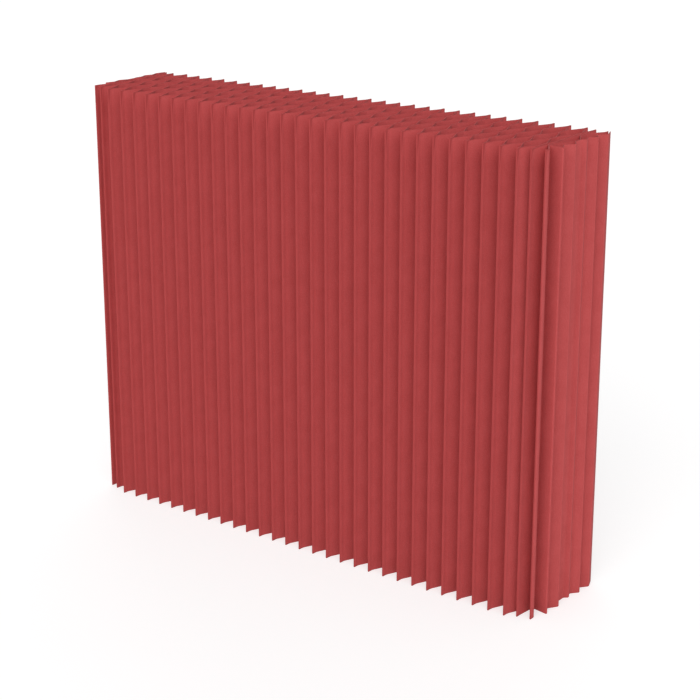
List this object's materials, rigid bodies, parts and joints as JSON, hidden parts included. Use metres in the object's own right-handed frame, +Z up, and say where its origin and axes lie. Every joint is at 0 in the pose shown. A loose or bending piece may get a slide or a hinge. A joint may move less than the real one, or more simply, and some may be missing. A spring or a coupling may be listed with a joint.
{
  "type": "accordion folding partition",
  "caption": "Free-standing accordion partition: upright felt sheets glued in staggered strips make a honeycomb wall that pulls out and closes along its length.",
  "frame": {"origin": "on the floor, under the middle of the wall", "axes": "+X along the wall, to the end that is nearest in the picture; +Y from the front tips to the back tips; +Z up"},
  "size_m": [2, 0.43, 1.6],
  "materials": {
    "felt": "matt needle-punched felt, red"
  },
  "bodies": {
    "pleat_01": {"pleat_01_left_sheet": "felt", "pleat_01_right_sheet": "felt"},
    "pleat_02": {"pleat_02_left_sheet": "felt", "pleat_02_right_sheet": "felt"},
    "pleat_03": {"pleat_03_left_sheet": "felt", "pleat_03_right_sheet": "felt"},
    "pleat_04": {"pleat_04_left_sheet": "felt", "pleat_04_right_sheet": "felt"},
    "pleat_05": {"pleat_05_left_sheet": "felt", "pleat_05_right_sheet": "felt"},
    "pleat_06": {"pleat_06_left_sheet": "felt", "pleat_06_right_sheet": "felt"},
    "pleat_07": {"pleat_07_left_sheet": "felt", "pleat_07_right_sheet": "felt"},
    "pleat_08": {"pleat_08_left_sheet": "felt", "pleat_08_right_sheet": "felt"},
    "pleat_09": {"pleat_09_left_sheet": "felt", "pleat_09_right_sheet": "felt"},
    "pleat_10": {"pleat_10_left_sheet": "felt", "pleat_10_right_sheet": "felt"},
    "pleat_11": {"pleat_11_left_sheet": "felt", "pleat_11_right_sheet": "felt"},
    "pleat_12": {"pleat_12_left_sheet": "felt", "pleat_12_right_sheet": "felt"},
    "pleat_13": {"pleat_13_left_sheet": "felt", "pleat_13_right_sheet": "felt"},
    "pleat_14": {"pleat_14_left_sheet": "felt", "pleat_14_right_sheet": "felt"},
    "pleat_15": {"pleat_15_left_sheet": "felt", "pleat_15_right_sheet": "felt"},
    "pleat_16": {"pleat_16_left_sheet": "felt", "pleat_16_right_sheet": "felt"},
    "pleat_17": {"pleat_17_left_sheet": "felt", "pleat_17_right_sheet": "felt"},
    "pleat_18": {"pleat_18_left_sheet": "felt", "pleat_18_right_sheet": "felt"},
    "pleat_19": {"pleat_19_left_sheet": "felt", "pleat_19_right_sheet": "felt"},
    "pleat_20": {"pleat_20_left_sheet": "felt", "pleat_20_right_sheet": "felt"},
    "pleat_21": {"pleat_21_left_sheet": "felt", "pleat_21_right_sheet": "felt"},
    "pleat_22": {"pleat_22_left_sheet": "felt", "pleat_22_right_sheet": "felt"},
    "pleat_23": {"pleat_23_left_sheet": "felt", "pleat_23_right_sheet": "felt"},
    "pleat_24": {"pleat_24_left_sheet": "felt", "pleat_24_right_sheet": "felt"},
    "pleat_25": {"pleat_25_left_sheet": "felt", "pleat_25_right_sheet": "felt"},
    "pleat_26": {"pleat_26_left_sheet": "felt", "pleat_26_right_sheet": "felt"},
    "pleat_27": {"pleat_27_left_sheet": "felt", "pleat_27_right_sheet": "felt"},
    "pleat_28": {"pleat_28_left_sheet": "felt", "pleat_28_right_sheet": "felt"},
    "pleat_29": {"pleat_29_left_sheet": "felt", "pleat_29_right_sheet": "felt"},
    "left_end": {"left_end_sheets": "felt"},
    "right_end": {"right_end_sheets": "felt"}
  },
  "joints": [
    {"name": "fold_pleat_16", "type": "slide", "parent": "pleat_15", "child": "pleat_16", "axis": [-1, 0, 0], "range_m": [0, 0.03333], "deforming": ["pleat_16_left_sheet", "pleat_16_right_sheet", "pleat_15_right_sheet"]},
    {"name": "fold_pleat_17", "type": "slide", "parent": "pleat_16", "child": "pleat_17", "axis": [-1, 0, 0], "range_m": [0, 0.03333], "deforming": ["pleat_17_left_sheet", "pleat_17_right_sheet"]},
    {"name": "fold_pleat_18", "type": "slide", "parent": "pleat_17", "child": "pleat_18", "axis": [-1, 0, 0], "range_m": [0, 0.03333], "deforming": ["pleat_18_left_sheet", "pleat_18_right_sheet"]},
    {"name": "fold_pleat_19", "type": "slide", "parent": "pleat_18", "child": "pleat_19", "axis": [-1, 0, 0], "range_m": [0, 0.03333], "deforming": ["pleat_19_left_sheet", "pleat_19_right_sheet"]},
    {"name": "fold_pleat_20", "type": "slide", "parent": "pleat_19", "child": "pleat_20", "axis": [-1, 0, 0], "range_m": [0, 0.03333], "deforming": ["pleat_20_left_sheet", "pleat_20_right_sheet"]},
    {"name": "fold_pleat_21", "type": "slide", "parent": "pleat_20", "child": "pleat_21", "axis": [-1, 0, 0], "range_m": [0, 0.03333], "deforming": ["pleat_21_left_sheet", "pleat_21_right_sheet"]},
    {"name": "fold_pleat_22", "type": "slide", "parent": "pleat_21", "child": "pleat_22", "axis": [-1, 0, 0], "range_m": [0, 0.03333], "deforming": ["pleat_22_left_sheet", "pleat_22_right_sheet"]},
    {"name": "fold_pleat_23", "type": "slide", "parent": "pleat_22", "child": "pleat_23", "axis": [-1, 0, 0], "range_m": [0, 0.03333], "deforming": ["pleat_23_left_sheet", "pleat_23_right_sheet"]},
    {"name": "fold_pleat_24", "type": "slide", "parent": "pleat_23", "child": "pleat_24", "axis": [-1, 0, 0], "range_m": [0, 0.03333], "deforming": ["pleat_24_left_sheet", "pleat_24_right_sheet"]},
    {"name": "fold_pleat_25", "type": "slide", "parent": "pleat_24", "child": "pleat_25", "axis": [-1, 0, 0], "range_m": [0, 0.03333], "deforming": ["pleat_25_left_sheet", "pleat_25_right_sheet"]},
    {"name": "fold_pleat_26", "type": "slide", "parent": "pleat_25", "child": "pleat_26", "axis": [-1, 0, 0], "range_m": [0, 0.03333], "deforming": ["pleat_26_left_sheet", "pleat_26_right_sheet"]},
    {"name": "fold_pleat_27", "type": "slide", "parent": "pleat_26", "child": "pleat_27", "axis": [-1, 0, 0], "range_m": [0, 0.03333], "deforming": ["pleat_27_left_sheet", "pleat_27_right_sheet"]},
    {"name": "fold_pleat_28", "type": "slide", "parent": "pleat_27", "child": "pleat_28", "axis": [-1, 0, 0], "range_m": [0, 0.03333], "deforming": ["pleat_28_left_sheet", "pleat_28_right_sheet"]},
    {"name": "fold_pleat_29", "type": "slide", "parent": "pleat_28", "child": "pleat_29", "axis": [-1, 0, 0], "range_m": [0, 0.03333], "deforming": ["pleat_29_left_sheet", "pleat_29_right_sheet"]},
    {"name": "fold_right_end", "type": "slide", "parent": "pleat_29", "child": "right_end", "axis": [-1, 0, 0], "range_m": [0, 0.03333], "deforming": ["right_end_sheets"]},
    {"name": "fold_pleat_14", "type": "slide", "parent": "pleat_15", "child": "pleat_14", "axis": [1, 0, 0], "range_m": [0, 0.03333], "deforming": ["pleat_14_left_sheet", "pleat_14_right_sheet", "pleat_15_left_sheet"]},
    {"name": "fold_pleat_13", "type": "slide", "parent": "pleat_14", "child": "pleat_13", "axis": [1, 0, 0], "range_m": [0, 0.03333], "deforming": ["pleat_13_left_sheet", "pleat_13_right_sheet"]},
    {"name": "fold_pleat_12", "type": "slide", "parent": "pleat_13", "child": "pleat_12", "axis": [1, 0, 0], "range_m": [0, 0.03333], "deforming": ["pleat_12_left_sheet", "pleat_12_right_sheet"]},
    {"name": "fold_pleat_11", "type": "slide", "parent": "pleat_12", "child": "pleat_11", "axis": [1, 0, 0], "range_m": [0, 0.03333], "deforming": ["pleat_11_left_sheet", "pleat_11_right_sheet"]},
    {"name": "fold_pleat_10", "type": "slide", "parent": "pleat_11", "child": "pleat_10", "axis": [1, 0, 0], "range_m": [0, 0.03333], "deforming": ["pleat_10_left_sheet", "pleat_10_right_sheet"]},
    {"name": "fold_pleat_09", "type": "slide", "parent": "pleat_10", "child": "pleat_09", "axis": [1, 0, 0], "range_m": [0, 0.03333], "deforming": ["pleat_09_left_sheet", "pleat_09_right_sheet"]},
    {"name": "fold_pleat_08", "type": "slide", "parent": "pleat_09", "child": "pleat_08", "axis": [1, 0, 0], "range_m": [0, 0.03333], "deforming": ["pleat_08_left_sheet", "pleat_08_right_sheet"]},
    {"name": "fold_pleat_07", "type": "slide", "parent": "pleat_08", "child": "pleat_07", "axis": [1, 0, 0], "range_m": [0, 0.03333], "deforming": ["pleat_07_left_sheet", "pleat_07_right_sheet"]},
    {"name": "fold_pleat_06", "type": "slide", "parent": "pleat_07", "child": "pleat_06", "axis": [1, 0, 0], "range_m": [0, 0.03333], "deforming": ["pleat_06_left_sheet", "pleat_06_right_sheet"]},
    {"name": "fold_pleat_05", "type": "slide", "parent": "pleat_06", "child": "pleat_05", "axis": [1, 0, 0], "range_m": [0, 0.03333], "deforming": ["pleat_05_left_sheet", "pleat_05_right_sheet"]},
    {"name": "fold_pleat_04", "type": "slide", "parent": "pleat_05", "child": "pleat_04", "axis": [1, 0, 0], "range_m": [0, 0.03333], "deforming": ["pleat_04_left_sheet", "pleat_04_right_sheet"]},
    {"name": "fold_pleat_03", "type": "slide", "parent": "pleat_04", "child": "pleat_03", "axis": [1, 0, 0], "range_m": [0, 0.03333], "deforming": ["pleat_03_left_sheet", "pleat_03_right_sheet"]},
    {"name": "fold_pleat_02", "type": "slide", "parent": "pleat_03", "child": "pleat_02", "axis": [1, 0, 0], "range_m": [0, 0.03333], "deforming": ["pleat_02_left_sheet", "pleat_02_right_sheet"]},
    {"name": "fold_pleat_01", "type": "slide", "parent": "pleat_02", "child": "pleat_01", "axis": [1, 0, 0], "range_m": [0, 0.03333], "deforming": ["pleat_01_left_sheet", "pleat_01_right_sheet"]},
    {"name": "fold_left_end", "type": "slide", "parent": "pleat_01", "child": "left_end", "axis": [1, 0, 0], "range_m": [0, 0.03333], "deforming": ["left_end_sheets"]}
  ],
  "couplings": [
    {"joint": "fold_pleat_17", "follows": "fold_pleat_16", "ratio": 1},
    {"joint": "fold_pleat_18", "follows": "fold_pleat_16", "ratio": 1},
    {"joint": "fold_pleat_19", "follows": "fold_pleat_16", "ratio": 1},
    {"joint": "fold_pleat_20", "follows": "fold_pleat_16", "ratio": 1},
    {"joint": "fold_pleat_21", "follows": "fold_pleat_16", "ratio": 1},
    {"joint": "fold_pleat_22", "follows": "fold_pleat_16", "ratio": 1},
    {"joint": "fold_pleat_23", "follows": "fold_pleat_16", "ratio": 1},
    {"joint": "fold_pleat_24", "follows": "fold_pleat_16", "ratio": 1},
    {"joint": "fold_pleat_25", "follows": "fold_pleat_16", "ratio": 1},
    {"joint": "fold_pleat_26", "follows": "fold_pleat_16", "ratio": 1},
    {"joint": "fold_pleat_27", "follows": "fold_pleat_16", "ratio": 1},
    {"joint": "fold_pleat_28", "follows": "fold_pleat_16", "ratio": 1},
    {"joint": "fold_pleat_29", "follows": "fold_pleat_16", "ratio": 1},
    {"joint": "fold_right_end", "follows": "fold_pleat_16", "ratio": 1},
    {"joint": "fold_pleat_14", "follows": "fold_pleat_16", "ratio": 1},
    {"joint": "fold_pleat_13", "follows": "fold_pleat_16", "ratio": 1},
    {"joint": "fold_pleat_12", "follows": "fold_pleat_16", "ratio": 1},
    {"joint": "fold_pleat_11", "follows": "fold_pleat_16", "ratio": 1},
    {"joint": "fold_pleat_10", "follows": "fold_pleat_16", "ratio": 1},
    {"joint": "fold_pleat_09", "follows": "fold_pleat_16", "ratio": 1},
    {"joint": "fold_pleat_08", "follows": "fold_pleat_16", "ratio": 1},
    {"joint": "fold_pleat_07", "follows": "fold_pleat_16", "ratio": 1},
    {"joint": "fold_pleat_06", "follows": "fold_pleat_16", "ratio": 1},
    {"joint": "fold_pleat_05", "follows": "fold_pleat_16", "ratio": 1},
    {"joint": "fold_pleat_04", "follows": "fold_pleat_16", "ratio": 1},
    {"joint": "fold_pleat_03", "follows": "fold_pleat_16", "ratio": 1},
    {"joint": "fold_pleat_02", "follows": "fold_pleat_16", "ratio": 1},
    {"joint": "fold_pleat_01", "follows": "fold_pleat_16", "ratio": 1},
    {"joint": "fold_left_end", "follows": "fold_pleat_16", "ratio": 1}
  ]
}
